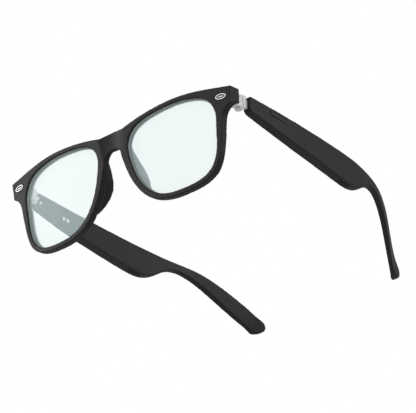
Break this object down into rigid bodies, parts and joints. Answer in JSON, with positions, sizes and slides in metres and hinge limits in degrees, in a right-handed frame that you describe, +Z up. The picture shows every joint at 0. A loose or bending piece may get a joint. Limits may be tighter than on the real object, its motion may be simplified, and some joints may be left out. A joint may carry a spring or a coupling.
{
  "type": "smart glasses",
  "caption": "Audio eyeglasses with a one-piece front, clear lenses, and folding temples that hold battery, board, speaker and charging contacts.",
  "frame": {"origin": "middle of the glasses' footprint as they stand open on a table, on both rims and both ear tips", "axes": "+X to the wearer's left, +Y from the front to the ear tips, +Z up"},
  "size_m": [0.1484, 0.165, 0.0509],
  "materials": {
    "frame_plastic": "fine matt, moulded",
    "pad_plastic": "smooth matt",
    "lens": "clear with a very pale cyan coating",
    "inlay_chrome": "polished",
    "hinge_metal": "fine brushed",
    "screw_steel": "turned",
    "temple_plastic": "fine matt, moulded",
    "core_metal": "drawn",
    "board": "solder mask",
    "can_metal": "plain",
    "battery_foil": "foil",
    "speaker_body": "moulded",
    "grille_plastic": "fine perforated",
    "contact_plating": "pale plated",
    "magnet_metal": "nickel plated"
  },
  "bodies": {
    "front": {"front_frame": "frame_plastic", "lens_left": "lens", "lens_right": "lens", "nose_pad_left": "pad_plastic", "nose_pad_right": "pad_plastic", "rivet_inlay_left": "inlay_chrome", "rivet_inlay_right": "inlay_chrome", "hinge_front_leaf_left": "hinge_metal", "hinge_front_leaf_right": "hinge_metal", "hinge_front_screws_left": "screw_steel", "hinge_front_screws_right": "screw_steel", "hinge_pivot_screw_left": "screw_steel", "hinge_pivot_screw_right": "screw_steel"},
    "temple_left": {"hinge_temple_leaf_left": "hinge_metal", "hinge_temple_screw_left": "screw_steel", "temple_shell_left": "temple_plastic", "inner_cover_left": "temple_plastic", "cover_screw_left": "screw_steel", "core_wire_left": "core_metal", "circuit_board_left": "board", "processor_can_left": "can_metal", "battery_left": "battery_foil", "speaker_left": "speaker_body", "speaker_grille_left": "grille_plastic", "microphone_left": "can_metal", "charge_contacts_left": "contact_plating", "charge_magnet_left": "magnet_metal", "key_switch": "speaker_body", "key_dome": "hinge_metal"},
    "temple_right": {"hinge_temple_leaf_right": "hinge_metal", "hinge_temple_screw_right": "screw_steel", "temple_shell_right": "temple_plastic", "inner_cover_right": "temple_plastic", "cover_screw_right": "screw_steel", "core_wire_right": "core_metal", "circuit_board_right": "board", "processor_can_right": "can_metal", "battery_right": "battery_foil", "speaker_right": "speaker_body", "speaker_grille_right": "grille_plastic", "microphone_right": "can_metal", "charge_contacts_right": "contact_plating", "charge_magnet_right": "magnet_metal"},
    "function_key": {"function_key": "temple_plastic"}
  },
  "joints": [
    {"name": "temple_fold_left", "type": "hinge", "parent": "front", "child": "temple_left", "pos_m": [0.0686, -0.06574, 0.04262], "axis": [0, -0.0525, 0.9986], "range_deg": [0, 83]},
    {"name": "temple_fold_right", "type": "hinge", "parent": "front", "child": "temple_right", "pos_m": [-0.0686, -0.06574, 0.04262], "axis": [0, 0.0525, -0.9986], "range_deg": [0, 65]},
    {"name": "key_press", "type": "slide", "parent": "temple_left", "child": "function_key", "axis": [-1, 0, 0], "range_m": [0, 0.0003], "stiffness_N_per_m": 1500, "springref_m": -0.0001}
  ]
}
